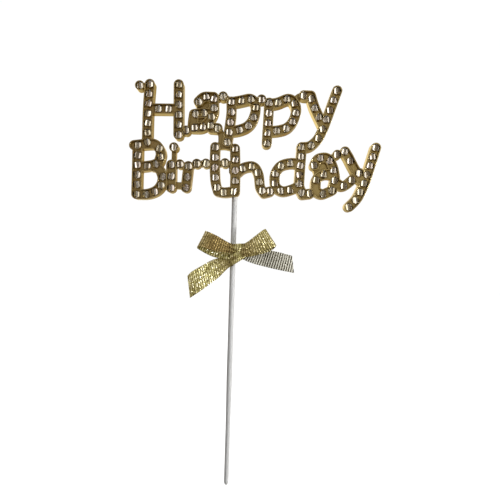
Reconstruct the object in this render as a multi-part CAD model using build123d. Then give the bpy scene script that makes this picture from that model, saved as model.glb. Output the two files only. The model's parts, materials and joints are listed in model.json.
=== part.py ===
"""A birthday cake topper: a plated panel of joined letters set with stones, on a stick with a ribbon bow.

Millimetres, +Z up along the stick, -Y towards the viewer. The origin is on the stick's axis at the line
down to which the stick is pushed into the cake.
"""
import math
import os

from build123d import *

# Photograph scale: the panel's letters and the bow are placed by pixels of the picture
PANEL_WIDTH = 133.0
PANEL_WIDTH_PX = 253.0
BOW_WIDTH = 57.0
BOW_WIDTH_PX = 108.5
STICK_ENTRY_PX = (234.4, 197.5)
BOW_CENTRE_PX = (232.8, 252.5)
PANEL_LEAN = 1.7  # degrees that the panel and the bow sit askew on the stick

# Stick
STICK_DIAMETER = 2.9
PIN_DIAMETER = 2.4
PIN_LENGTH = 32.0
TIP_LENGTH = 1.8
TIP_FLAT_DIAMETER = 0.8
TAPER_LENGTH = 22.0
PANEL_SEAT_HEIGHT = 119.0  # lower edge of the panel at the stick, above the origin
SOCKET_DEPTH = 21.0  # length of stick inside the panel's hollow back
STICK_GAP = 0.05  # clearance round the stick in the panel and in the ribbon
STICK_END_GAP = 0.4

# Stones
STONE_DIAMETER = 3.8
STONE_HEIGHT = 1.9
STONE_GIRDLE_HEIGHT = 0.4
STONE_TABLE_DIAMETER = 2.0
STONE_STAR_DIAMETER = 2.9
STONE_SIDES = 8
STONE_PITCH = 5.05
STONE_LEAST_SPACING = 3.95
STONE_GAP = 0.15  # between the stone's girdle and the wall of its channel
GLUE_FILM = 0.1  # adhesive under each stone

# Panel section
RIM_WIDTH = 0.6
RIM_HEIGHT = 1.5  # depth of the channel in front of the floor
FLOOR_THICKNESS = 1.0
HOLLOW_WALL = 0.8
CUP_WALL = 0.45
BEAD_BAR_WIDTH = 3.2
NECK_WIDTH = 2.4
WEB_WIDTH = 3.6
CUT_OVERRUN = 1.0

# Hot-melt pad on the back of the stem that holds the stick
PAD_LENGTH = 11.0
PAD_WIDTH = 7.0
PAD_THICKNESS = 1.3
PAD_ROUNDING = 1.0

# Ribbon bow
BOW_HEIGHT = 90.0  # middle of the bow above the origin
RIBBON_THICKNESS = 0.45
WRAP_HEIGHT = 6.0
WRAP_KNOT_GAP = 0.2
KNOT_DEPTH = 4.0
LOOP_SWELL = 5.6  # front to back of a loop
TAIL_SWAY = 2.4  # front to back of a tail's wave
TAIL_SET_BACK = 0.9  # how far a tail starts in front of the knot's back
BOW_CUT_HEIGHT = 60.0

# Corners of a path are rounded by this share of the shorter run
CORNER_SHARE = 0.46
SMOOTH_ANGLE = 0.1  # degrees under which two edges of a path run on smoothly
LOOP_CORNER_SHARE = 0.4

# Worked-out sizes of the panel and the stick
PANEL_SCALE = PANEL_WIDTH / PANEL_WIDTH_PX
BOW_SCALE = BOW_WIDTH / BOW_WIDTH_PX
STICK_RADIUS = STICK_DIAMETER / 2
CHANNEL_WIDTH = STONE_DIAMETER + 2 * STONE_GAP
STROKE_WIDTH = CHANNEL_WIDTH + 2 * RIM_WIDTH
CUP_DIAMETER = CHANNEL_WIDTH + 2 * CUP_WALL
HOLLOW_WIDTH = STROKE_WIDTH - 2 * HOLLOW_WALL
PANEL_BACK = -(STICK_RADIUS + STICK_GAP)  # depths are counted forwards from the stick's axis
HOLLOW_DEPTH = 2 * (STICK_RADIUS + STICK_GAP)
FLOOR_BACK = PANEL_BACK + HOLLOW_DEPTH
FLOOR_FRONT = FLOOR_BACK + FLOOR_THICKNESS
RIM_FRONT = FLOOR_FRONT + RIM_HEIGHT
STICK_TOP = PANEL_SEAT_HEIGHT + SOCKET_DEPTH

# Worked-out sizes of the bow
WRAP_BORE_RADIUS = STICK_RADIUS + STICK_GAP
WRAP_RADIUS = WRAP_BORE_RADIUS + RIBBON_THICKNESS
KNOT_BACK = WRAP_RADIUS + WRAP_KNOT_GAP

# Letter strokes in pixels of the photograph. Channel strokes carry stones between two rims, beaded strokes
# are thin bars with a cup round each stone, webs are low plain bars that join letters, and necks are thin
# plain bars. Each stroke is listed as a path of corner points.
LETTERS_PX = {
    "01_h": {
        "channel": [
            [(149.7, 83.8), (147.7, 108), (146.8, 142)],
            [(178.7, 84.2), (178.3, 134.5)],
            [(148, 108.3), (178, 108.6)],
        ],
        "beaded": [[(139.6, 85), (149, 84.5)]],
    },
    "02_a": {
        "channel": [
            [(198.6, 101.4), (203.6, 96.4), (213.6, 96.8), (214.2, 112), (208.6, 121), (211, 127.5), (217.6, 128)],
            [(212, 113.5), (202.5, 112.6), (194, 114), (193, 120.5)],
            [(193, 120.5), (192.4, 127.2), (203, 127.4), (209, 121)],
        ],
        "beaded": [[(178.4, 134), (186, 130.5), (193, 125)]],
        "web": [[(200, 106.8), (209.4, 106)], [(196, 120), (206, 119)]],
    },
    "03_p": {
        "channel": [
            [(231.4, 101.5), (231.6, 113), (227.4, 142)],
            [(231.4, 102), (240, 100.6), (253, 97.5), (256.6, 109), (252.6, 121), (247, 127), (238, 130.2),
             (229.6, 131)],
        ],
        "beaded": [[(214, 99), (223.5, 94.8), (231.3, 101)]],
        "web": [[(217.6, 128), (221.6, 134), (221.4, 145)]],
    },
    "04_p": {
        "channel": [
            [(269.2, 102.6), (268.6, 114), (266.8, 143)],
            [(268.8, 103.6), (277, 103), (291, 97), (297.4, 108), (293.6, 121), (287.6, 128), (278, 130.6),
             (267.4, 131)],
        ],
        "beaded": [[(254, 101), (261.4, 98.2), (268.7, 102.6)]],
    },
    "05_y": {
        "channel": [
            [(337.4, 90.4), (323.4, 128.8), (317.6, 140), (310, 146.6), (301.6, 147.2)],
            [(304, 95.2), (311, 95.5), (314.4, 107), (319.4, 117.4), (323.6, 126)],
        ],
        "beaded": [[(293.5, 101), (299.5, 95), (305, 95.2)]],
    },
    "06_b": {
        "channel": [
            [(137.4, 145), (137, 165), (136.2, 194)],
            [(134, 145), (146.4, 143.6), (155.6, 143.4), (161.6, 152), (158.6, 162.6), (153, 165), (138, 167)],
            [(150, 165.4), (159.6, 168), (163.6, 180), (158, 190), (148, 194.2), (136.6, 194)],
        ],
    },
    "07_i": {
        "channel": [[(171.2, 164.6), (170.8, 187.6)]],
        "beaded": [[(173.8, 147), (173.7, 148)]],
        "neck": [[(173.7, 147), (173.2, 163)]],
        "web": [[(160, 180.4), (171, 181)]],
    },
    "08_r": {
        "channel": [[(188.2, 166), (185.7, 187.5)]],
        "beaded": [
            [(171.4, 164.4), (179.5, 163.6), (188, 165.8)],
            [(188, 166.6), (197.2, 162.8), (207.8, 163.3), (215, 164.6)],
        ],
        "web": [[(171, 184.8), (186, 185.4)]],
    },
    "09_t": {
        "channel": [[(215.2, 147), (214.5, 166), (215.2, 182), (217.8, 191.4), (224.6, 192.6), (233.6, 191.4)]],
        "beaded": [[(215, 163.4), (223.8, 162.6), (235, 164)]],
        "web": [[(215.4, 145.4), (224, 144.6), (234.6, 147)]],
    },
    "10_h": {
        "channel": [
            [(235, 148.6), (235.4, 170), (234.9, 191.6)],
            [(235.6, 174), (243, 167.4), (254, 165.4), (258.8, 174), (260, 188), (264, 193), (270, 191.4)],
        ],
    },
    "11_d": {
        "channel": [
            [(302, 147), (300.4, 165), (299, 187), (303, 194.4), (310, 193.6)],
            [(300.2, 163.8), (291.4, 162.6), (280.4, 165), (274.2, 174.4), (275, 187), (282, 192), (291, 190),
             (299.2, 186)],
        ],
        "beaded": [[(268, 191.8), (276, 188)]],
    },
    "12_a": {
        "channel": [
            [(314.4, 165.2), (317.4, 158.4), (328, 156.8), (333.2, 166.6), (335.6, 180), (332.4, 190.4)],
            [(333.6, 174.6), (325.2, 173.6), (316, 178), (315.6, 191), (322, 194.8), (332.4, 190.4)],
            [(335.4, 182), (343, 187.4), (351.8, 180.4), (359.6, 173)],
        ],
        "beaded": [[(309, 193.8), (318, 193)], [(330, 158.6), (337.8, 154), (345.4, 151.4)]],
        "web": [[(314.8, 166), (318, 172), (317, 179)], [(320.6, 163.4), (327, 167), (322, 171)]],
    },
    "13_y": {
        "channel": [
            [(376.2, 147.6), (364.6, 184), (357.4, 199), (349.4, 206.8)],
            [(345.2, 151.4), (348.8, 157.2), (353.2, 166.2), (361.4, 180)],
        ],
    },
}

# Outlines of the bow's pieces, seen from the front, in pixels of the photograph
KNOT_OUTLINE_PX = [(229.5, 243.5), (247.4, 242.4), (248.6, 254.6), (242, 260.4), (230, 266.8), (226.4, 257)]
LOOP_LEFT_OUTLINE_PX = [(234, 242.4), (205.7, 231), (197.2, 248.4), (212, 256.6), (234, 260)]
LOOP_RIGHT_OUTLINE_PX = [(241, 244.8), (265.1, 228.8), (276.3, 244.4), (273.6, 249.4), (241, 256.4)]
TAIL_LEFT_OUTLINE_PX = [(234, 257), (214, 259), (191.4, 271.4), (186.6, 276.2), (189.2, 298.9), (201.4, 290.2),
                        (234, 264.6)]
TAIL_RIGHT_OUTLINE_PX = [(240, 247.4), (272, 250.4), (292.8, 255.6), (295, 273.5), (268.2, 267.7), (238, 258.8)]

# Bow pieces seen from above, as shares of their reach from the knot and of their swell or sway
LOOP_PLAN_SHARES = [(0.0, 0.42), (0.4, 1.0), (0.88, 0.96), (1.0, 0.5), (0.86, 0.0), (0.4, 0.04)]
TAIL_PLAN_SHARES = [(0.0, 1.0), (0.16, 0.42), (0.42, 0.1), (0.72, 0.5), (1.0, 0.0)]
KNOT_PLAN_SHARES = [(0.0, 0.0), (1.0, 0.0), (0.94, 0.7), (0.55, 1.0), (0.1, 0.74)]


def rounded_path(points, close=False, share=CORNER_SHARE, least_radius=0):
    """A path of straight runs whose corners are rounded as far as their runs allow, or left sharp."""
    vectors = [Vector(*point) for point in points]
    corners = list(zip(vectors, vectors[1:], vectors[2:]))
    if close:
        corners = list(zip(vectors[-1:] + vectors[:-1], vectors, vectors[1:] + vectors[:1]))
    if not corners:
        return Wire([Line(*vectors).edge()])
    radii = []
    for before, corner, after in corners:
        run_in = corner - before
        run_out = after - corner
        turn = math.radians(run_in.get_angle(run_out))
        radius = share * min(run_in.length, run_out.length) / math.tan(turn / 2)
        radii.append(radius if radius > least_radius else 0)
    return FilletPolyline(*vectors, radius=radii, close=close).wire()


def photo_points(points_px, centre_px, scale):
    """Pixels of the photograph as lengths across and up from a centre pixel."""
    return [((x - centre_px[0]) * scale, (centre_px[1] - y) * scale) for x, y in points_px]


def askew(height):
    """Place of a flat layout at a height on the stick: across, up, and forwards from the stick's axis."""
    lean = math.radians(PANEL_LEAN)
    return Location(Plane(origin=(0, 0, height), x_dir=(math.cos(lean), 0, math.sin(lean)), z_dir=(0, -1, 0)))


def letter_paths(letter, style):
    """Centre lines of a letter's strokes of one style, in the panel's flat layout."""
    strokes = LETTERS_PX[letter].get(style, [])
    layouts = [photo_points(stroke, STICK_ENTRY_PX, PANEL_SCALE) for stroke in strokes]
    return [rounded_path(layout, least_radius=STROKE_WIDTH / 2) for layout in layouts]


def all_paths(style):
    """Centre lines of every letter's strokes of one style."""
    return [path for letter in LETTERS_PX for path in letter_paths(letter, style)]


def stone_places():
    """Centres of the stones along each letter's strokes, leaving out those that crowd one already set."""
    places = {letter: [] for letter in LETTERS_PX}
    cups = []
    taken = []
    for style in ("channel", "beaded"):
        for letter in LETTERS_PX:
            for path in letter_paths(letter, style):
                spaces = round(path.length / STONE_PITCH)
                for index in range(spaces + 1):
                    place = path.position_at(index / max(spaces, 1))
                    if any((place - other).length < STONE_LEAST_SPACING for other in taken):
                        continue
                    taken.append(place)
                    places[letter].append(place)
                    if style == "beaded":
                        cups.append(place)
    return places, cups


def strip(edge, width):
    """The flat strip of one width along a straight run or an arc, a wedge where the arc is tighter."""
    half = width / 2
    places = [edge.position_at(share) for share in (0, 1 / 2, 1)]
    if edge.geom_type == GeomType.LINE:
        sideways = edge.tangent_at(0).rotate(Axis.Z, 90) * half
        start, end = places[0], places[2]
        return make_face(Polyline(start + sideways, end + sideways, end - sideways, start - sideways, close=True))
    centre = edge.arc_center
    outwards = [(place - centre).normalized() for place in places]
    outer = ThreePointArc(*[centre + outward * (edge.radius + half) for outward in outwards])
    inner_points = [centre + outward * (edge.radius - half) for outward in outwards]
    if edge.radius > half:
        inner = [ThreePointArc(*inner_points)]
        ends = [Line(inner_points[0], outer @ 0), Line(inner_points[2], outer @ 1)]
    else:
        inner = []
        ends = [Line(centre, outer @ 0), Line(centre, outer @ 1)]
    return make_face([line.edge() for line in [outer] + inner + ends])


def round_cap(place, outward, width):
    """The half disc that rounds off a strip's end."""
    tip = outward * (width / 2)
    side = tip.rotate(Axis.Z, 90)
    arc = ThreePointArc(place + side, place + tip, place - side)
    return make_face([arc.edge(), Line(place - side, place + side).edge()])


def bar(path, width):
    """The round-ended flat bar of one width along a path, rounded off at sharp corners too."""
    edges = list(path.order_edges())
    faces = [strip(edge, width) for edge in edges]
    for edge, before in zip(edges, [None] + edges[:-1]):
        if before is None or before.tangent_at(1).get_angle(edge.tangent_at(0)) > SMOOTH_ANGLE:
            faces.append(round_cap(edge.position_at(0), -edge.tangent_at(0), width))
    for edge, after in zip(edges, edges[1:] + [None]):
        if after is None or after.tangent_at(0).get_angle(edge.tangent_at(1)) > SMOOTH_ANGLE:
            faces.append(round_cap(edge.position_at(1), edge.tangent_at(1), width))
    return Sketch() + faces


def bars(paths, width):
    """Round-ended flat bars of one width along the paths."""
    return [bar(path, width) for path in paths]


def discs(places, diameter):
    """Flat round discs at the places."""
    return [Pos(place.X, place.Y) * Circle(diameter / 2) for place in places]


def slab(layout, back, front):
    """The flat layout made solid between two depths."""
    return extrude(Pos(0, 0, back) * layout, front - back)


def make_panel(cups):
    """The plated moulding in three layers: hollow back, floor and rims, with the slot for the stick."""
    channel_paths = all_paths("channel")
    strokes = Sketch() + (bars(channel_paths, STROKE_WIDTH) + discs(cups, CUP_DIAMETER))
    low_bars = bars(all_paths("beaded"), BEAD_BAR_WIDTH) + bars(all_paths("web"), WEB_WIDTH)
    outline = strokes + (low_bars + bars(all_paths("neck"), NECK_WIDTH))
    channels = Sketch() + (bars(channel_paths, CHANNEL_WIDTH) + discs(cups, CHANNEL_WIDTH))
    hollows = Sketch() + bars(channel_paths, HOLLOW_WIDTH)
    panel = slab(outline, FLOOR_BACK, FLOOR_FRONT) + slab(strokes - channels, FLOOR_FRONT, RIM_FRONT)
    panel += slab(outline - hollows, PANEL_BACK, FLOOR_BACK)
    return askew(PANEL_SEAT_HEIGHT) * panel - make_stick_slot()


def make_stick_slot():
    """The space that the stick is laid into from behind."""
    radius = STICK_RADIUS + STICK_GAP
    length = SOCKET_DEPTH + STICK_END_GAP + STROKE_WIDTH
    bottom = PANEL_SEAT_HEIGHT - STROKE_WIDTH
    bore = Cylinder(radius, length, align=(Align.CENTER, Align.CENTER, Align.MIN))
    mouth = Box(2 * radius, radius + CUT_OVERRUN, length, align=(Align.CENTER, Align.MIN, Align.MIN))
    return Pos(0, 0, bottom) * (bore + mouth)


def ring_points(diameter, count, turn_share, height):
    """Points of one ring of a stone's corners, turned by a share of a step."""
    step = 2 * math.pi / count
    radius = diameter / 2
    angles = [(index + turn_share) * step for index in range(count)]
    return [Vector(radius * math.cos(angle), radius * math.sin(angle), height) for angle in angles]


def make_stone():
    """A flat-backed round stone: a girdle, girdle facets, kites, star facets and a flat table."""
    sides = STONE_SIDES
    half_step = math.pi / sides
    crown = STONE_HEIGHT - STONE_GIRDLE_HEIGHT
    slope_share = (STONE_STAR_DIAMETER * math.cos(half_step) - STONE_TABLE_DIAMETER) / (
        STONE_DIAMETER - STONE_TABLE_DIAMETER)
    star_height = STONE_HEIGHT - slope_share * crown
    back = ring_points(STONE_DIAMETER, 2 * sides, 0, 0)
    girdle = ring_points(STONE_DIAMETER, 2 * sides, 0, STONE_GIRDLE_HEIGHT)
    table = ring_points(STONE_TABLE_DIAMETER, sides, 0, STONE_HEIGHT)
    stars = ring_points(STONE_STAR_DIAMETER, sides, 1 / 2, star_height)
    facets = [back[::-1], table]
    for index in range(2 * sides):
        following = (index + 1) % (2 * sides)
        facets.append([back[index], back[following], girdle[following], girdle[index]])
        facets.append([girdle[index], girdle[following], stars[index // 2]])
    for index in range(sides):
        facets.append([table[index], stars[index - 1], girdle[2 * index], stars[index]])
        facets.append([table[index], stars[index], table[(index + 1) % sides]])
    return Solid(Shell([Face(Wire.make_polygon(facet)) for facet in facets]))


def make_stones(places):
    """One letter's stones, each on its film of adhesive on the channel floor."""
    stone = make_stone()
    stones = [stone.moved(Location((place.X, place.Y, FLOOR_FRONT + GLUE_FILM))) for place in places]
    return askew(PANEL_SEAT_HEIGHT) * Compound(children=stones)


def make_stick():
    """The stick: a rod, a long taper, a straight lower pin and a blunt rounded tip."""
    pin_radius = PIN_DIAMETER / 2
    tip_radius = TIP_FLAT_DIAMETER / 2
    tip_bottom = -PIN_LENGTH - TIP_LENGTH
    outline = Polyline((tip_radius, tip_bottom), (0, tip_bottom), (0, STICK_TOP), (STICK_RADIUS, STICK_TOP),
                       (STICK_RADIUS, TAPER_LENGTH), (pin_radius, 0), (pin_radius, -PIN_LENGTH))
    tip = TangentArc((pin_radius, -PIN_LENGTH), (tip_radius, tip_bottom), tangent=(0, -1))
    profile = make_face(outline.edges() + tip.edges())
    return revolve(Plane.XZ * profile, Axis.Z)


def make_pad():
    """The hot-melt pad over the stick's upper end, flat on the panel's back."""
    pad = extrude(Ellipse(PAD_WIDTH / 2, PAD_LENGTH / 2), -PAD_THICKNESS)
    pad = fillet(pad.edges().group_by(Axis.Z)[0], PAD_ROUNDING)
    return askew(PANEL_SEAT_HEIGHT) * Pos(0, SOCKET_DEPTH - PAD_LENGTH / 2, PANEL_BACK) * pad


def bow_front(outline_px):
    """A bow piece's outline seen from the front, made solid through the bow's whole depth."""
    points = photo_points(outline_px, BOW_CENTRE_PX, BOW_SCALE)
    outline = make_face(rounded_path(points, close=True, share=LOOP_CORNER_SHARE / 2))
    return extrude(outline, BOW_CUT_HEIGHT, both=True)


def reach(outline_px, farthest):
    """The farthest or nearest place of an outline across the bow, as a length from the stick's axis."""
    return farthest(point[0] for point in photo_points(outline_px, BOW_CENTRE_PX, BOW_SCALE))


def plan_points(shares, start, end, back, depth):
    """Points of a bow piece seen from above, between two places across the bow."""
    return [(start + across * (end - start), back + forward * depth) for across, forward in shares]


def upright(plan):
    """A plan of the bow made solid through the bow's whole height."""
    return extrude(Plane.XZ * plan, BOW_CUT_HEIGHT, both=True)


def make_knot():
    """The knot in front of the stick, in the bow's flat layout."""
    start = reach(KNOT_OUTLINE_PX, min)
    end = reach(KNOT_OUTLINE_PX, max)
    points = plan_points(KNOT_PLAN_SHARES, start, end, KNOT_BACK, KNOT_DEPTH)
    plan = make_face(rounded_path(points, close=True, share=LOOP_CORNER_SHARE))
    return upright(plan) & bow_front(KNOT_OUTLINE_PX)


def make_loop(outline_px, root, end, knot):
    """One loop: a closed turn of ribbon seen from above, cut to its outline seen from the front."""
    points = plan_points(LOOP_PLAN_SHARES, root, end, KNOT_BACK, LOOP_SWELL)
    outside = make_face(rounded_path(points, close=True, share=LOOP_CORNER_SHARE))
    ribbon = outside - offset(outside, -RIBBON_THICKNESS)
    return (upright(ribbon) & bow_front(outline_px)) - knot


def make_tail(outline_px, root, end, knot):
    """One tail: a waved strip of ribbon seen from above, cut to its outline seen from the front."""
    back = KNOT_BACK + TAIL_SET_BACK - TAIL_SWAY
    points = plan_points(TAIL_PLAN_SHARES, root, end, back, TAIL_SWAY)
    ribbon = bar(rounded_path(points), RIBBON_THICKNESS)
    return (upright(ribbon) & bow_front(outline_px)) - knot


def make_wrap():
    """The turn of ribbon round the stick."""
    return Pos(0, 0, BOW_HEIGHT) * (Cylinder(WRAP_RADIUS, WRAP_HEIGHT) - Cylinder(WRAP_BORE_RADIUS, WRAP_HEIGHT))


def make_bow():
    """The knot, loops and tails of the bow, each its own piece."""
    knot = make_knot()
    root = (reach(KNOT_OUTLINE_PX, min) + reach(KNOT_OUTLINE_PX, max)) / 2
    pieces = {
        "bow_knot": knot,
        "bow_loop_left": make_loop(LOOP_LEFT_OUTLINE_PX, root, reach(LOOP_LEFT_OUTLINE_PX, min), knot),
        "bow_loop_right": make_loop(LOOP_RIGHT_OUTLINE_PX, root, reach(LOOP_RIGHT_OUTLINE_PX, max), knot),
        "bow_tail_left": make_tail(TAIL_LEFT_OUTLINE_PX, root, reach(TAIL_LEFT_OUTLINE_PX, min), knot),
        "bow_tail_right": make_tail(TAIL_RIGHT_OUTLINE_PX, root, reach(TAIL_RIGHT_OUTLINE_PX, max), knot),
    }
    return {name: askew(BOW_HEIGHT) * piece for name, piece in pieces.items()}


def main():
    """Make every piece and write it to its own file."""
    places, cups = stone_places()
    pieces = {"letter_panel": make_panel(cups), "stick": make_stick(), "hot_melt_pad": make_pad()}
    for letter in LETTERS_PX:
        pieces[f"stones_{letter}"] = make_stones(places[letter])
    pieces["bow_wrap"] = make_wrap()
    pieces.update(make_bow())
    os.makedirs("parts", exist_ok=True)
    for name, piece in pieces.items():
        export_step(piece, f"parts/{name}.step")


main()
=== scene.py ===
# A cake topper: plated lettering set with stones, a white stick and a ribbon bow
import json
import math
import random

import bmesh
import bpy
from mathutils import Matrix, Vector, noise


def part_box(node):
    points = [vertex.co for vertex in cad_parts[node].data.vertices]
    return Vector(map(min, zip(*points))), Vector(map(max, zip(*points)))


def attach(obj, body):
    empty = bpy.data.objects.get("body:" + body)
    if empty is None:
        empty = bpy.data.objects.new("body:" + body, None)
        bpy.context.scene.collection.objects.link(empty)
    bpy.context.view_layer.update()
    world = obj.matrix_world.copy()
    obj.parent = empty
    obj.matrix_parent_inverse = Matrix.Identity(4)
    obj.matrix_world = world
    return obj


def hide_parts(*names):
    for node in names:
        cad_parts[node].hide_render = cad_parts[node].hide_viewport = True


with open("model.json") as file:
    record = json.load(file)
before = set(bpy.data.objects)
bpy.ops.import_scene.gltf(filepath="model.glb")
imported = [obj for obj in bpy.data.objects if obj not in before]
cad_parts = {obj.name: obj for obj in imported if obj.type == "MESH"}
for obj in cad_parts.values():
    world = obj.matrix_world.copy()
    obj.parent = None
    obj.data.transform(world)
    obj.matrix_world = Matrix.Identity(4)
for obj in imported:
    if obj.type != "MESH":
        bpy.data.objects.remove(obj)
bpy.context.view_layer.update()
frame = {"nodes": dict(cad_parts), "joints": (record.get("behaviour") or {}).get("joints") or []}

# Photograph: places of the object are read from it in pixels
IMAGE_SIDE_PX = 500
IMAGE_CENTRE_PX = (250.0, 250.0)
STICK_ENTRY_PX = (234.4, 197.5)  # where the stick enters the lettering
BOW_CENTRE_PX = (232.8, 252.5)  # where the bow sits on the stick
LETTERING_WIDTH_PX = 253
LETTERING_WIDTH = 0.133
PIXEL = LETTERING_WIDTH / LETTERING_WIDTH_PX  # metres across one pixel at the lettering
LEAN = math.radians(1.7)  # the lettering is level in the photograph and the stick leans by this

# Heights, depths and nodes, from the frame where it has them
PANEL_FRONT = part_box("letter_panel")[0].y
STICK_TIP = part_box("stick")[0].z
SEAT_HEIGHT = 0.119  # lower edge of the lettering at the stick
BOW_HEIGHT = next(joint["pos_m"][2] for joint in frame["joints"] if joint["name"] == "bow_turn")
STONE_NODES = sorted(name for name in frame["nodes"] if name.startswith("stones_"))

# Camera
CAMERA_DISTANCE = 0.260  # from the front of the lettering
CAMERA_NEAR = 0.005  # nothing nearer than this is drawn

# Floor, with a light of its own that keeps it white
WHITE = (1, 1, 1, 1)
FLOOR_RADIUS = 1.5
FLOOR_SIDES = 96
FLOOR_COLOUR = (0.3, 0.3, 0.3, 1)
FLOOR_ROUGHNESS = 0.9

# Lights: azimuth and elevation in degrees, width and height in metres, power in watts, and what shows them.
# That is matt surfaces, reflections (with what is seen through glass), both of these, or surfaces, matt and
# shiny, but not what is seen through glass.
LIGHT_DISTANCE = 0.7
LIGHT_TARGET = Vector((0.01, 0, 0.13))
LIGHTS = {
    "window_left_1": (-33, 14, 0.15, 0.9, 0.48, "reflections"),
    "window_left_2": (-48, 14, 0.15, 0.9, 0.8, "reflections"),
    "window_right_1": (33, 16, 0.15, 0.9, 1.1, "both"),
    "window_right_2": (48, 16, 0.15, 0.9, 0.5, "both"),
    "strip_low_right": (66, -7.5, 0.15, 0.13, 1.8, "surfaces"),
    "top": (20, 80, 0.4, 0.3, 0.8, "both"),
    "back_left": (-145, 30, 0.15, 0.5, 0.8, "both"),
    "back_right": (150, 25, 0.12, 0.5, 0.4, "both"),
    "fill_left": (-50, 20, 0.5, 0.5, 0.5, "matt"),
    "fill_right": (60, 18, 0.3, 0.6, 0.6, "matt"),
    "fill_back": (-170, 25, 0.8, 0.6, 2.4, "matt"),
}

# Room, as reflections and glass show it: colours from its far left (0) to its far right (1), the tints of its
# broad patches, and its strength in reflections and through glass
ROOM_COLOURS = [
    (0.0, (0.42, 0.36, 0.26)),
    (0.32, (0.225, 0.19, 0.14)),
    (0.5, (0.285, 0.248, 0.18)),
    (0.68, (0.43, 0.39, 0.265)),
    (1.0, (0.50, 0.45, 0.33)),
]
ROOM_TINTS = [(0.3, (1.0, 0.8, 0.66)), (0.5, (1.0, 0.97, 0.95)), (0.7, (1.15, 1.12, 1.08))]
ROOM_PATCH_SCALE = 4
ROOM_STRENGTHS = (1.0, 0.48)

# Backdrop of that room: where it begins and ends going back, left and down, in parts of a direction of length
# one, and the shares of it that are left on the right and low down
BACKDROP_COLOUR = (0.97, 0.98, 1.0, 1)
BACKDROP_STRENGTH = 1.15
BACKDROP_BACK = (0.25, 0.8)
BACKDROP_LEFT = (0.3, -0.15)
BACKDROP_DOWN = (0.05, -0.15)
BACKDROP_ON_RIGHT = 0.08
BACKDROP_LOW_DOWN = 0.38

WHITE_SEEN = 1.02  # strength of the white that the camera sees round the object
MATT_FILL = 0.08  # strength of the white that falls on matt surfaces from all sides

# Finishes: colours as (place, colour), along a tone from dark to light or by chance from stone to stone
# the darkest stop is reached deep in corners, where the gold's tone carries painted shade
GOLD_TONES = [(0.15, (0.08, 0.056, 0.022)), (0.6, (0.45, 0.355, 0.165)), (1.0, (0.70, 0.585, 0.32))]
GOLD_GRAZING = (0.85, 0.74, 0.47, 1)
GLASS_TINTS = [(0.0, (0.92, 0.84, 0.64)), (0.5, (0.90, 0.84, 0.72)), (1.0, (0.92, 0.80, 0.72))]
FOIL_TINTS = [(0.0, (0.86, 0.84, 0.80)), (1.0, (0.95, 0.95, 0.95))]
PLASTIC_TONES = [(0.3, (0.92, 0.92, 0.91)), (0.7, (0.97, 0.97, 0.96))]
GLUE_TONES = [(0.3, (0.72, 0.66, 0.52)), (0.7, (0.86, 0.82, 0.72))]
GLUE_GLOW_DEPTHS = (0.0012, 0.001, 0.0007)  # how far red, green and blue light go into it

# Stones: facets are (turns round the stone in degrees, slope in degrees, share of the radius where they leave
# the top)
STONE_SIDES = 16
STONE_GIRDLE_TURNS = [360 * (side + 0.5) / STONE_SIDES for side in range(STONE_SIDES)]
STONE_FACETS = [
    ((0, 180), 26, 0.04),
    ((0, 180), 55, 0.35),
    ((90, 270), 55, 0.86),
    ((45, 135, 225, 315), 55, 0.74),
    (STONE_GIRDLE_TURNS, 62, 0.9),
]
STONE_FOIL_SHARE = 0.86  # share of the radius that the foil takes, inside a gilt edge
STONE_TILT = math.radians(6)  # most that a stone leans in its seat
STONE_TURN = 0.2  # most that a stone is turned in its seat, in radians
STONE_SEED = 7
GLASS, FOIL, GILT = range(3)  # a stone's materials, in their order
SAME_POINT = 1e-6  # points of a solid nearer than this are one

# Glue: share of its size that its lumps take, how many there are across it, and the power of its dome
GLUE_LUMPS = 0.12
GLUE_LUMP_COUNT = 2.2
GLUE_DOME = 0.6
GLUE_FINENESS = 5  # subdivisions of its mesh

# Ribbon
RIBBON_WIDTH = 0.010
RIBBON_THICKNESS = 0.00028
RIB_PITCH = 0.00125
RIB_HEIGHT = 0.00016
RIB_STEPS = 8  # mesh rows in one rib
RIBBON_COLUMNS = 28  # mesh columns across it
LENGTH_STEPS = 120  # steps in which its length is measured
WARP_THREADS = 24  # threads across it
GLINTS_ACROSS = 12  # patches across it, each with its own glint
SHADED_GLITTER = 0.3  # share of its glitter that is left where its painted light is least
CREASE_REACH = 0.003  # surfaces nearer than this paint shade on it
CREASE_SHADE = 0.62  # tone that painted shade leaves deep in a crease
GATHER_FADE = 1.5  # power by which a gather dies out along the ribbon
PLEAT_WANDER = 0.07  # share of the width by which pleats wander
PLEAT_WANDER_RATE = 9  # how quickly they wander, in radians over the ribbon's length

# Ribbon's two sides: thread colours from groove to crown, in a shaded and a lit copy that painted light along
# the ribbon mixes, the share that differs from patch to patch, how wide its grooves are, and how metallic it
# is
FACE_SIDE = {
    "shaded_colours": [(0.1, (0.035, 0.022, 0.006)), (0.5, (0.18, 0.12, 0.037)), (0.95, (0.46, 0.35, 0.145))],
    "lit_colours": [(0.1, (0.12, 0.10, 0.02)), (0.45, (0.45, 0.41, 0.14)), (0.75, (0.78, 0.76, 0.40)),
               (0.95, (0.98, 0.98, 0.78))],
    "chance": 0.5,
    "groove": 0.0,
    "metallic": 0.85,
}
REVERSE_SIDE = {
    "shaded_colours": [(0.2, (0.04, 0.036, 0.02)), (0.5, (0.28, 0.26, 0.17)), (0.8, (0.74, 0.71, 0.55))],
    "lit_colours": [(0.2, (0.045, 0.04, 0.02)), (0.5, (0.54, 0.51, 0.36)), (0.68, (1.0, 0.98, 0.85))],
    "chance": 0.08,
    "groove": -0.3,
    "metallic": 0.1,
}
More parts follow.
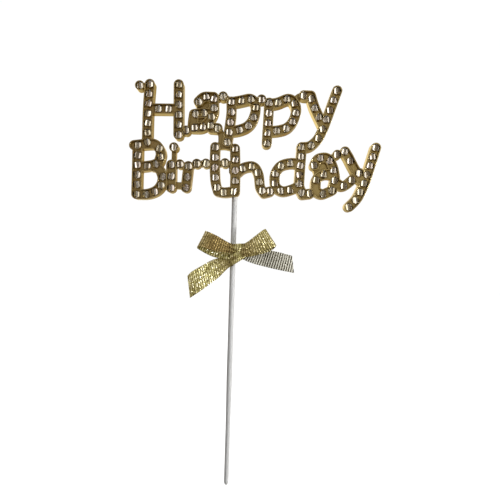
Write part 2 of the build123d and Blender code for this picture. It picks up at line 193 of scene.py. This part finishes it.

# Bow pieces. Edge points are (pixel across, pixel down, millimetres forward of the stick's axis), gathers are
# (place along, reach, count, depth), the painted shine is (place along, share from shaded to lit), and the
# slant is that of the ribs.
ROOT_GATHERS = [(0.0, 0.3, 2.5, 0.0005), (1.0, 0.3, 2.5, 0.0005)]
TAIL_GATHERS = [(0.0, 0.35, 2, 0.0004)]
KNOT_GATHERS = [(0.5, 2.0, 2.5, 0.00035)]
BOW_PIECES = {
    "loop_left": {
        "upper": [(238, 246, 4.4), (229, 242.5, 6.3), (218, 236, 7.6), (209, 231.8, 7.3),
                  (205.9, 231.0, 5.0), (208.5, 232.4, 2.9), (218, 238, 2.6), (229, 246, 3.0),
                  (238, 249, 3.4)],
        "lower": [(238, 254, 4.4), (228, 252.5, 6.3), (214, 250.5, 7.6), (201, 246.4, 7.3),
                  (197.6, 247.6, 5.0), (200, 250.2, 2.9), (212, 256.4, 2.6), (226, 259.2, 3.0),
                  (238, 258, 3.4)],
        "held": "folded",
        "gathers": ROOT_GATHERS,
        "side": FACE_SIDE,
        "painted_shine": [(0.0, 0.4), (0.12, 0.06), (0.34, 0.02), (0.46, 0.36), (0.58, 1.0), (1.0, 0.9)],
    },
    "loop_right": {
        "upper": [(236, 246, 3.4), (247, 243.6, 3.0), (256, 237.6, 2.6), (263.6, 231.4, 2.9),
                  (265.4, 229.2, 5.0), (262.6, 230.2, 7.3), (255, 236, 7.6), (246, 242.6, 6.3),
                  (236, 246, 4.4)],
        "lower": [(236, 256, 3.4), (246, 257, 3.0), (258, 254.8, 2.6), (272, 250, 2.9),
                  (275.8, 245.6, 5.0), (273, 247.2, 7.3), (260, 252.4, 7.6), (246, 256.4, 6.3),
                  (236, 255, 4.4)],
        "held": "folded",
        "gathers": ROOT_GATHERS,
        "side": FACE_SIDE,
        "painted_shine": [(0.0, 0.5), (0.4, 0.6), (0.5, 0.62), (0.66, 0.52), (0.82, 0.31), (1.0, 0.25)],
    },
    "tail_left": {
        "upper": [(236, 256.6, 2.9), (225, 257.2, 1.7), (213, 259.4, 1.0), (200, 266.4, 1.5),
                  (191, 271.8, 1.9), (186.9, 276, 0.9)],
        "lower": [(236, 262.6, 2.9), (227.6, 268.6, 1.7), (219, 277, 1.0), (210, 284, 1.5),
                  (201, 290.6, 1.9), (189.4, 298.4, 0.9)],
        "held": "hung",
        "gathers": TAIL_GATHERS,
        "side": FACE_SIDE,
        "painted_shine": [(0.0, 0.3), (0.25, 0.5), (0.55, 0.88), (1.0, 0.8)],
    },
    "tail_right": {
        "upper": [(238, 248, 2.9), (252, 248.4, 1.7), (264, 249.4, 1.0), (279, 252, 1.6),
                  (292.6, 255.7, 0.9)],
        "lower": [(238, 257, 2.9), (250, 262.4, 1.7), (262, 266, 1.0), (278, 269.8, 1.6),
                  (294.6, 273.2, 0.9)],
        "held": "hung",
        "gathers": TAIL_GATHERS,
        "side": REVERSE_SIDE,
        "painted_shine": [(0.0, 0.7), (0.3, 1.0), (0.6, 1.0), (1.0, 0.9)],
        "slant": 0.3,
    },
    "knot": {
        "upper": [(227.8, 247.6, 2.5), (231.4, 244.6, 4.6), (237, 243.6, 5.7), (243.4, 243.4, 5.3),
                  (248.2, 243.2, 2.6)],
        "lower": [(229.4, 265.8, 2.7), (232, 266, 4.4), (236.4, 263, 5.7), (241.6, 259.6, 5.3),
                  (246.6, 255.6, 2.6)],
        "held": "gathered",
        "gathers": KNOT_GATHERS,
        "side": FACE_SIDE,
        "painted_shine": [(0.0, 0.55), (0.6, 0.75), (1.0, 0.55)],
        "slant": 0.15,
    },
}
# painted light on the turn round the stick: shaded all along
WRAP_PAINTED_SHINE = [(0.0, 0.2), (1.0, 0.2)]
WRAP_RADIUS_SHARE = 0.86  # the ribbon's middle lies at this share of the solid ring's radius
WRAP_STEPS = 16


# Photograph to frame

def photo_place(pixel, origin_px, height, forward):
    """The point of the frame that shows at a pixel, at a depth forward of the stick's axis."""
    across = (pixel[0] - origin_px[0]) * PIXEL
    up = (origin_px[1] - pixel[1]) * PIXEL
    x = across * math.cos(LEAN) - up * math.sin(LEAN)
    z = height + across * math.sin(LEAN) + up * math.cos(LEAN)
    return Vector((x, -forward, z))


# Shader nodes

class Nodes:
    """A short way to add and join the nodes of one material, or of another node tree."""

    def __init__(self, name="", tree=None):
        self.tree = tree
        if tree is None:
            self.material = bpy.data.materials.new(name)
            self.material.use_nodes = True
            self.tree = self.material.node_tree
            self.shader = self.tree.nodes["Principled BSDF"]

    def add(self, kind, settings=(), **inputs):
        """Add a node, set its properties, and set or join its inputs by name."""
        node = self.tree.nodes.new("ShaderNode" + kind)
        for key, value in dict(settings).items():
            setattr(node, key, value)
        self.join(node, **inputs)
        return node

    def join(self, node, **inputs):
        """Set or join a node's inputs. In a name, _ stands for a space, or leads the input's number."""
        for key, value in inputs.items():
            name = int(key[1:]) if key[0] == "_" else key.replace("_", " ")
            if isinstance(value, bpy.types.NodeSocket):
                self.tree.links.new(value, node.inputs[name])
            else:
                node.inputs[name].default_value = value

    def place(self):
        """The place on the object."""
        return self.add("TexCoord").outputs["Object"]

    def island(self):
        """A number by chance for each separate piece of the mesh."""
        return self.add("NewGeometry").outputs["Random Per Island"]

    def math(self, operation, first, second=0.0):
        """The output of a math node."""
        return self.add("Math", {"operation": operation}, _0=first, _1=second).outputs[0]

    def vector(self, operation, first, **more):
        """The output of a vector math node."""
        return self.add("VectorMath", {"operation": operation}, _0=first, **more).outputs[0]

    def noise(self, vector, scale, detail=3.0):
        """The value of a noise texture."""
        return self.add("TexNoise", Vector=vector, Scale=scale, Detail=detail).outputs[0]

    def between(self, factor, start, end):
        """A number that runs from start to end with a factor from 0 to 1."""
        return self.add("MapRange", _0=factor, _3=start, _4=end).outputs[0]

    def fade(self, value, start, end):
        """A number that eases from 0 to 1 as a value goes from start to end."""
        eased = {"interpolation_type": "SMOOTHSTEP"}
        return self.add("MapRange", eased, _0=value, _1=start, _2=end).outputs[0]

    def ramp(self, factor, stops):
        """A colour picked along stops of (place, colour)."""
        node = self.add("ValToRGB", Fac=factor)
        elements = node.color_ramp.elements
        while len(elements) < len(stops):
            elements.new(1)
        for element, (place, colour) in zip(elements, stops):
            element.position = place
            element.color = (*colour, 1)
        return node.outputs[0]

    def bump(self, height, distance, strength=1.0, **more):
        """A normal roughened by a height."""
        return self.add("Bump", Height=height, Distance=distance, Strength=strength, **more).outputs[0]

    def corners(self, reach, samples):
        """A number that falls from 1 in the open to 0 deep in a corner, with which shade is painted into a
        tone.
        """
        return self.add("AmbientOcclusion", {"samples": samples}, Distance=reach).outputs["AO"]


# Camera, floor and light

def make_camera():
    """A camera square to the lettering, rolled so that the lettering is level."""
    centre = photo_place(IMAGE_CENTRE_PX, STICK_ENTRY_PX, SEAT_HEIGHT, -PANEL_FRONT)
    data = bpy.data.cameras.new("camera")
    data.sensor_fit = "HORIZONTAL"
    data.angle = 2 * math.atan(IMAGE_SIDE_PX / 2 * PIXEL / CAMERA_DISTANCE)
    data.clip_start = CAMERA_NEAR
    camera = bpy.data.objects.new("camera", data)
    bpy.context.scene.collection.objects.link(camera)
    right = Vector((math.cos(LEAN), 0, math.sin(LEAN)))
    up = Vector((-math.sin(LEAN), 0, math.cos(LEAN)))
    back = Vector((0, -1, 0))
    turn = Matrix((right, up, back)).transposed().to_4x4()
    camera.matrix_world = Matrix.Translation(centre + back * CAMERA_DISTANCE) @ turn
    bpy.context.scene.camera = camera


def make_light(name, azimuth, elevation, width, height, power, shown_by):
    """A soft light on a sphere round the lettering, facing it and not itself in the picture.

    Azimuth 0 is the camera's side, and 90 is the lettering's right.
    """
    data = bpy.data.lights.new(name, "AREA")
    data.shape = "RECTANGLE"
    data.size = width
    data.size_y = height
    data.energy = power
    light = bpy.data.objects.new(name, data)
    bpy.context.scene.collection.objects.link(light)
    turn = math.radians(azimuth)
    lift = math.radians(elevation)
    outward = Vector((math.sin(turn) * math.cos(lift), -math.cos(turn) * math.cos(lift), math.sin(lift)))
    light.location = LIGHT_TARGET + outward * LIGHT_DISTANCE
    light.rotation_euler = outward.to_track_quat("Z", "Y").to_euler()
    light.visible_camera = False
    light.visible_diffuse = shown_by != "reflections"
    light.visible_glossy = shown_by != "matt"
    light.visible_transmission = shown_by in ("both", "reflections")


def backdrop_light(nodes, x, y, z):
    """A light backdrop behind the object, fainter low down and faintest on the right."""
    behind = nodes.fade(y, *BACKDROP_BACK)
    across = nodes.between(nodes.fade(x, *BACKDROP_LEFT), BACKDROP_ON_RIGHT, 1.0)
    down = nodes.between(nodes.fade(z, *BACKDROP_DOWN), 1.0, BACKDROP_LOW_DOWN)
    glow = nodes.math("MULTIPLY", behind, nodes.math("MULTIPLY", across, down))
    strength = nodes.math("MULTIPLY", glow, BACKDROP_STRENGTH)
    return nodes.add("Background", Color=BACKDROP_COLOUR, Strength=strength).outputs[0]


def room_light(nodes, direction, x, through_glass):
    """A warm room that differs from side to side and from patch to patch."""
    side = nodes.add("MapRange", _0=x, _1=-1.0, _2=1.0).outputs[0]
    patches = nodes.noise(direction, ROOM_PATCH_SCALE, detail=0.0)
    colour = nodes.vector("MULTIPLY", nodes.ramp(side, ROOM_COLOURS), _1=nodes.ramp(patches, ROOM_TINTS))
    strength = nodes.between(through_glass, *ROOM_STRENGTHS)
    return nodes.add("Background", Color=colour, Strength=strength).outputs[0]


def make_world():
    """White for the camera, and for reflections and glass a warm room with a light backdrop."""
    world = bpy.data.worlds.new("room")
    bpy.context.scene.world = world
    world.use_nodes = True
    nodes = Nodes(tree=world.node_tree)
    direction = nodes.add("TexCoord").outputs["Generated"]
    x, y, z = nodes.add("SeparateXYZ", _0=direction).outputs
    path = nodes.add("LightPath").outputs
    through_glass = path["Is Transmission Ray"]
    mirrored = nodes.math("MAXIMUM", path["Is Glossy Ray"], through_glass)
    backdrop = backdrop_light(nodes, x, y, z)
    room = nodes.add("AddShader", _0=backdrop, _1=room_light(nodes, direction, x, through_glass))
    fill = nodes.add("Background", Color=WHITE, Strength=MATT_FILL)
    lit = nodes.add("MixShader", Fac=mirrored, _1=fill.outputs[0], _2=room.outputs[0])
    white = nodes.add("Background", Color=WHITE, Strength=WHITE_SEEN)
    mix = nodes.add("MixShader", Fac=path["Is Camera Ray"], _1=lit.outputs[0], _2=white.outputs[0])
    nodes.join(world.node_tree.nodes["World Output"], Surface=mix.outputs[0])


def make_floor():
    """A plain white floor under the stick's tip, for the camera alone."""
    mesh = bpy.data.meshes.new("floor")
    shape = bmesh.new()
    bmesh.ops.create_circle(shape, cap_ends=True, segments=FLOOR_SIDES, radius=FLOOR_RADIUS)
    shape.to_mesh(mesh)
    shape.free()
    floor = bpy.data.objects.new("floor", mesh)
    bpy.context.scene.collection.objects.link(floor)
    floor.location.z = STICK_TIP
    nodes = Nodes("floor_white")
    nodes.join(nodes.shader, Base_Color=FLOOR_COLOUR, Roughness=FLOOR_ROUGHNESS, Emission_Color=WHITE,
               Emission_Strength=1.0)
    mesh.materials.append(nodes.material)
    floor.visible_diffuse = False
    floor.visible_glossy = False
    floor.visible_transmission = False


def make_studio():
    """The floor, the room and the soft lights: windows in front, lights above and behind, and fills."""
    bpy.context.scene.view_settings.view_transform = "Standard"
    make_world()
    make_floor()
    for name, light in LIGHTS.items():
        make_light(name, *light)


# Materials

def gold_plating():
    """Bright gold plating: uneven in tone, slightly rippled, rounded at its edges, and darkened in corners
    with painted shade.
    """
    nodes = Nodes("gold_plating")
    place = nodes.place()
    grain = nodes.noise(place, scale=2600)
    blotches = nodes.between(nodes.noise(place, scale=120), 0.5, 1.2)
    # painted shade: the tone darkens deep in corners and round the stones' seats
    tone = nodes.math("MULTIPLY", blotches, nodes.corners(reach=0.0012, samples=6))
    soft_edges = nodes.add("Bevel", {"samples": 6}, Radius=0.00015).outputs[0]
    ripple = nodes.bump(nodes.noise(place, scale=300), distance=0.0003, strength=0.6, Normal=soft_edges)
    nodes.join(nodes.shader, Base_Color=nodes.ramp(tone, GOLD_TONES), Metallic=1.0,
               Specular_Tint=GOLD_GRAZING, Roughness=nodes.between(grain, 0.08, 0.2),
               Normal=nodes.bump(grain, distance=0.00001, strength=0.4, Normal=ripple))
    return nodes.material


def stone_glass():
    """Clear cut glass, with a slight tint that differs from stone to stone."""
    nodes = Nodes("stone_glass")
    smears = nodes.noise(nodes.place(), scale=900)
    nodes.join(nodes.shader, Base_Color=nodes.ramp(nodes.island(), GLASS_TINTS), IOR=1.56,
               Transmission_Weight=1.0, Roughness=nodes.between(smears, 0.0, 0.05))
    return nodes.material


def stone_foil():
    """The silver foil behind each stone."""
    nodes = Nodes("stone_foil")
    crinkle = nodes.noise(nodes.place(), scale=700)
    nodes.join(nodes.shader, Base_Color=nodes.ramp(nodes.island(), FOIL_TINTS), Metallic=1.0,
               Roughness=nodes.between(crinkle, 0.02, 0.08),
               Normal=nodes.bump(crinkle, distance=0.00002, strength=0.3))
    return nodes.material


def white_plastic():
    """Extruded white plastic with faint lengthwise streaks."""
    nodes = Nodes("white_plastic")
    place = nodes.place()
    drawn_out = nodes.add("Mapping", Vector=place, Scale=(1, 1, 0.02)).outputs[0]
    streaks = nodes.noise(drawn_out, scale=1800)
    specks = nodes.noise(place, scale=700)
    nodes.join(nodes.shader, Base_Color=nodes.ramp(streaks, PLASTIC_TONES),
               Roughness=nodes.between(specks, 0.34, 0.5),
               Normal=nodes.bump(streaks, distance=0.00004, strength=0.1))
    return nodes.material


def hot_melt():
    """Milky glue, cloudy under an uneven skin."""
    nodes = Nodes("hot_melt_glue")
    clouds = nodes.noise(nodes.place(), scale=420)
    nodes.join(nodes.shader, Base_Color=nodes.ramp(clouds, GLUE_TONES), Subsurface_Weight=0.4,
               Subsurface_Radius=GLUE_GLOW_DEPTHS, Roughness=nodes.between(clouds, 0.18, 0.34),
               Normal=nodes.bump(clouds, distance=0.0003, strength=0.5))
    return nodes.material


def ribbon_cloth(name, length, side, painted_shine, slant):
    """Woven metallic ribbon: lighter ribs, darker grooves, glinting patches, painted light along it, painted
    shade in creases.
    """
    nodes = Nodes(name)
    along, across, _ = nodes.add("SeparateXYZ", _0=nodes.add("UVMap").outputs[0]).outputs
    lean = nodes.math("MULTIPLY", across, slant * RIBBON_WIDTH / RIB_PITCH)
    ribs = nodes.math("ADD", nodes.math("MULTIPLY", along, length / RIB_PITCH), lean)
    rib = nodes.math("COSINE", nodes.math("MULTIPLY", ribs, 2 * math.pi))
    crown = nodes.add("MapRange", _0=rib, _1=side["groove"], _2=1.0, _3=1.0, _4=0.0).outputs[0]
    thread = nodes.math("COSINE", nodes.math("MULTIPLY", across, WARP_THREADS * 2 * math.pi))

    # Each patch has a number of its own and a direction of its own
    glint = nodes.math("FLOOR", nodes.math("MULTIPLY", across, GLINTS_ACROSS))
    patch = nodes.add("CombineXYZ", X=nodes.math("FLOOR", ribs), Y=glint).outputs[0]
    number, way = nodes.add("TexWhiteNoise", {"noise_dimensions": "2D"}, Vector=patch).outputs
    # painted light: a share along the ribbon that mixes its shaded and lit colours and sets how much it
    # glitters
    painted_light_share = nodes.ramp(along, [(place, (value, value, value)) for place, value in painted_shine])
    glitter = nodes.between(painted_light_share, SHADED_GLITTER * side["chance"], side["chance"])

    differing = nodes.math("MULTIPLY", nodes.math("SUBTRACT", number, 0.5), glitter)
    tone = nodes.math("ADD", nodes.between(crown, side["chance"] / 2, 1 - side["chance"] / 2), differing)
    # painted shade: the tone darkens where other surfaces lie near, in creases and round the knot
    painted_crease_shade = nodes.between(nodes.corners(CREASE_REACH, samples=4), CREASE_SHADE, 1.0)
    tone = nodes.math("MULTIPLY", tone, painted_crease_shade)
    # painted light and shade: the shaded and lit copies of its colours, mixed by that share
    colour = nodes.add("Mix", {"data_type": "RGBA"}, _0=painted_light_share, _6=nodes.ramp(tone, side["shaded_colours"]),
                       _7=nodes.ramp(tone, side["lit_colours"])).outputs[2]

    weave = nodes.math("ADD", nodes.math("MULTIPLY", crown, 0.7), nodes.math("MULTIPLY", thread, 0.15))
    woven = nodes.bump(weave, distance=0.00012, strength=0.6)
    tilt = nodes.vector("SCALE", nodes.vector("SUBTRACT", way, _1=(0.5, 0.5, 0.5)), Scale=glitter)
    facing = nodes.vector("NORMALIZE", nodes.vector("ADD", woven, _1=tilt))
    nodes.join(nodes.shader, Base_Color=colour, Metallic=side["metallic"],
               Roughness=nodes.between(number, 0.5, 0.24), Normal=facing)
    return nodes.material


# Pieces

def new_piece(name, shape, materials, body):
    """A piece made from a mesh under construction, riding on a body."""
    mesh = bpy.data.meshes.new(name)
    shape.to_mesh(mesh)
    shape.free()
    for material in materials:
        mesh.materials.append(material)
    piece = bpy.data.objects.new(name, mesh)
    bpy.context.scene.collection.objects.link(piece)
    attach(piece, body)
    return piece


def dress(name, material):
    """Give a node that stays its own finish."""
    node = frame["nodes"][name]
    node.material_slots[0].material = material


# Stones

def islands(node):
    """The separate solids of a node, each as a list of its points."""
    shape = bmesh.new()
    shape.from_mesh(node.data)
    bmesh.ops.remove_doubles(shape, verts=shape.verts, dist=SAME_POINT)
    seen = set()
    groups = []
    for start in shape.verts:
        if start in seen:
            continue
        seen.add(start)
        group = [start]
        for vert in group:
            for edge in vert.link_edges:
                other = edge.other_vert(vert)
                if other not in seen:
                    seen.add(other)
                    group.append(other)
        groups.append([vert.co.copy() for vert in group])
    shape.free()
    return groups


def ring(shape, radius, height):
    """Points of a ring round the stone's axis, in a mesh under construction."""
    turns = [2 * math.pi * side / STONE_SIDES for side in range(STONE_SIDES)]
    return [shape.verts.new((radius * math.cos(turn), radius * math.sin(turn), height)) for turn in turns]


def cut_stone(radius, height):
    """One stone, cut from a round blank: a faceted glass crown on a foiled back with a gilt edge."""
    shape = bmesh.new()
    foil = ring(shape, radius * STONE_FOIL_SHARE, 0)
    back = ring(shape, radius, 0)
    top = ring(shape, radius, height)
    shape.faces.new(foil[::-1]).material_index = FOIL
    shape.faces.new(top).material_index = GLASS
    for lower, upper in ((foil, back), (back, top)):
        for side in range(STONE_SIDES):
            following = (side + 1) % STONE_SIDES
            corners = [lower[side], lower[following], upper[following], upper[side]]
            shape.faces.new(corners).material_index = GILT
    for turns, slope, share in STONE_FACETS:
        for turn in turns:
            outward = Vector((math.cos(math.radians(turn)), math.sin(math.radians(turn)), 0))
            facing = outward * math.sin(math.radians(slope)) + Vector((0, 0, math.cos(math.radians(slope))))
            start = outward * radius * share + Vector((0, 0, height))
            everything = shape.verts[:] + shape.edges[:] + shape.faces[:]
            cut = bmesh.ops.bisect_plane(shape, geom=everything, plane_co=start, plane_no=facing,
                                         clear_outer=True)
            rim = [item for item in cut["geom_cut"] if isinstance(item, bmesh.types.BMEdge)]
            bmesh.ops.edgeloop_fill(shape, edges=rim, mat_nr=GLASS)
    return shape


def make_stones(glass, foil, gilt):
    """Foil-backed stones in place of each letter's plain ones, each set a little askew by hand."""
    chance = random.Random(STONE_SEED)
    one_stone = bpy.data.meshes.new("one_stone")
    for name in STONE_NODES:
        shape = bmesh.new()
        for points in islands(frame["nodes"][name]):
            low = Vector(min(point[axis] for point in points) for axis in range(3))
            high = Vector(max(point[axis] for point in points) for axis in range(3))
            middle = (low + high) / 2
            seat = Matrix.Translation((middle.x, high.y, middle.z)) @ Matrix.Rotation(math.pi / 2, 4, "X")
            askew = Matrix.Rotation(chance.uniform(-STONE_TILT, STONE_TILT), 4, "X")
            askew @= Matrix.Rotation(chance.uniform(-STONE_TILT, STONE_TILT), 4, "Y")
            turned = Matrix.Rotation(chance.uniform(-STONE_TURN, STONE_TURN), 4, "Z")
            stone = cut_stone((high.x - low.x) / 2, high.y - low.y)
            stone.transform(seat @ askew @ turned)
            stone.to_mesh(one_stone)
            stone.free()
            shape.from_mesh(one_stone)
        piece = new_piece(f"cut_{name}", shape, [glass, foil, gilt], "topper")
        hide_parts(name)


# Glue

def make_glue(material):
    """A set blob of glue over the end of the stick: lumpy, with a wavy rim, and flat on the lettering."""
    low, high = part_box("hot_melt_pad")
    middle = (low + high) / 2
    half = (high - low) / 2
    shape = bmesh.new()
    bmesh.ops.create_icosphere(shape, subdivisions=GLUE_FINENESS, radius=1)
    for vert in shape.verts:
        reach = 1 - GLUE_LUMPS + GLUE_LUMPS * noise.noise(vert.co * GLUE_LUMP_COUNT)
        rise = max(0.0, vert.co.y) ** GLUE_DOME * reach
        x = middle.x + half.x * vert.co.x * reach
        z = middle.z + half.z * vert.co.z * reach
        vert.co = (x, low.y + 2 * half.y * rise, z)
    for face in shape.faces:
        face.smooth = True
    piece = new_piece("glue_blob", shape, [material], "topper")
    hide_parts("hot_melt_pad")


# Ribbon bow

def curve_point(before, start, end, after, share):
    """A point of the smooth curve from start to end, given the points before and after them."""
    bend = before * 2 - start * 5 + end * 4 - after
    twist = start * 3 - before - end * 3 + after
    return start + ((end - before) * share + bend * share ** 2 + twist * share ** 3) / 2


def smooth_line(points, places):
    """Points along a smooth curve through the given points, at places from 0 to 1 along their chain."""
    reach = [0.0]
    for before, after in zip(points, points[1:]):
        reach.append(reach[-1] + (after - before).length)
    result = []
    for place in places:
        distance = place * reach[-1]
        index = max(i for i in range(len(points) - 1) if i == 0 or reach[i] <= distance)
        share = (distance - reach[index]) / (reach[index + 1] - reach[index])
        start, end = points[index], points[index + 1]
        before = points[index - 1] if index else start * 2 - end
        after = points[index + 2] if index + 2 < len(points) else end * 2 - start
        result.append(curve_point(before, start, end, after, share))
    return result


def bow_points(rows):
    """Points of the bow from rows of (pixel across, pixel down, millimetres forward of the stick's axis)."""
    return [photo_place((x, y), BOW_CENTRE_PX, BOW_HEIGHT, forward / 1000) for x, y, forward in rows]


def ribbon_length(upper, lower):
    """The length of a ribbon along its middle."""
    shares = [step / LENGTH_STEPS for step in range(LENGTH_STEPS + 1)]
    edges = zip(smooth_line(upper, shares), smooth_line(lower, shares))
    middles = [(top + bottom) / 2 for top, bottom in edges]
    return sum((after - before).length for before, after in zip(middles, middles[1:]))


def ribbon_heights(shares, length, gathers, slant):
    """How far each point of a ribbon stands off its middle surface: ribs, and pleats where it is gathered."""
    rows = []
    for share in shares:
        row = []
        for column in range(RIBBON_COLUMNS + 1):
            place = column / RIBBON_COLUMNS
            along = (share * length + slant * place * RIBBON_WIDTH) / RIB_PITCH
            height = RIB_HEIGHT * (0.5 - 0.5 * math.cos(2 * math.pi * along))
            wandering = place + PLEAT_WANDER * math.sin(PLEAT_WANDER_RATE * share)
            for start, reach, count, depth in gathers:
                fade = max(0.0, 1 - abs(share - start) / reach) ** GATHER_FADE
                height += depth * fade * math.cos(2 * math.pi * count * wandering)
            row.append(height)
        rows.append(row)
    return rows


def ribbon_shape(upper, lower, length, gathers, slant):
    """The mesh of a ribbed ribbon between two edges, laid out flat in its UV map."""
    rows = round(length / RIB_PITCH * RIB_STEPS)
    shares = [row / rows for row in range(rows + 1)]
    grid = []
    for top, bottom in zip(smooth_line(upper, shares), smooth_line(lower, shares)):
        grid.append([top.lerp(bottom, column / RIBBON_COLUMNS) for column in range(RIBBON_COLUMNS + 1)])
    heights = ribbon_heights(shares, length, gathers, slant)
    shape = bmesh.new()
    flat = shape.loops.layers.uv.new("flat")
    verts = []
    for row, line in enumerate(grid):
        before = grid[max(row - 1, 0)]
        after = grid[min(row + 1, rows)]
        along = after[0] - before[0]
        along += after[-1] - before[-1]
        facing = along.cross(line[-1] - line[0]).normalized()
        verts.append([shape.verts.new(point + facing * height) for point, height in zip(line, heights[row])])
    for row in range(rows):
        for column in range(RIBBON_COLUMNS):
            corners = [(row, column), (row, column + 1), (row + 1, column + 1), (row + 1, column)]
            face = shape.faces.new([verts[r][c] for r, c in corners])
            face.smooth = True
            for loop, (r, c) in zip(face.loops, corners):
                loop[flat].uv = (shares[r], c / RIBBON_COLUMNS)
    return shape


def make_ribbon(name, upper, lower, held, gathers, side, painted_shine, slant=0.0, body="bow"):
    """A ribbed ribbon between two edges, in place of the bow's node of that name."""
    length = ribbon_length(upper, lower)
    shape = ribbon_shape(upper, lower, length, gathers, slant)
    cloth = ribbon_cloth(f"cloth_{name}", length, side, painted_shine, slant)
    piece = new_piece(f"ribbon_{name}", shape, [cloth], body)
    thick = piece.modifiers.new("thickness", "SOLIDIFY")
    thick.thickness = RIBBON_THICKNESS
    thick.offset = 0
    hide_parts(f"bow_{name}")


def make_bow():
    """The bow: two loops, two tails, a knot, and the turn round the stick."""
    for name, piece in BOW_PIECES.items():
        edges = {edge: bow_points(piece[edge]) for edge in ("upper", "lower")}
        make_ribbon(name, **{**piece, **edges})
    low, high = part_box("bow_wrap")
    radius = WRAP_RADIUS_SHARE * high.x
    turns = [2 * math.pi * step / WRAP_STEPS for step in range(WRAP_STEPS + 1)]
    upper, lower = [[Vector((radius * math.sin(turn), radius * math.cos(turn), height)) for turn in turns]
                    for height in (high.z, low.z)]
    make_ribbon("wrap", upper, lower, "gathered", (), FACE_SIDE, WRAP_PAINTED_SHINE, body="wrap")


make_camera()
make_studio()
gold = gold_plating()
dress("letter_panel", gold)
dress("stick", white_plastic())
make_glue(hot_melt())
make_stones(stone_glass(), stone_foil(), gold)
make_bow()
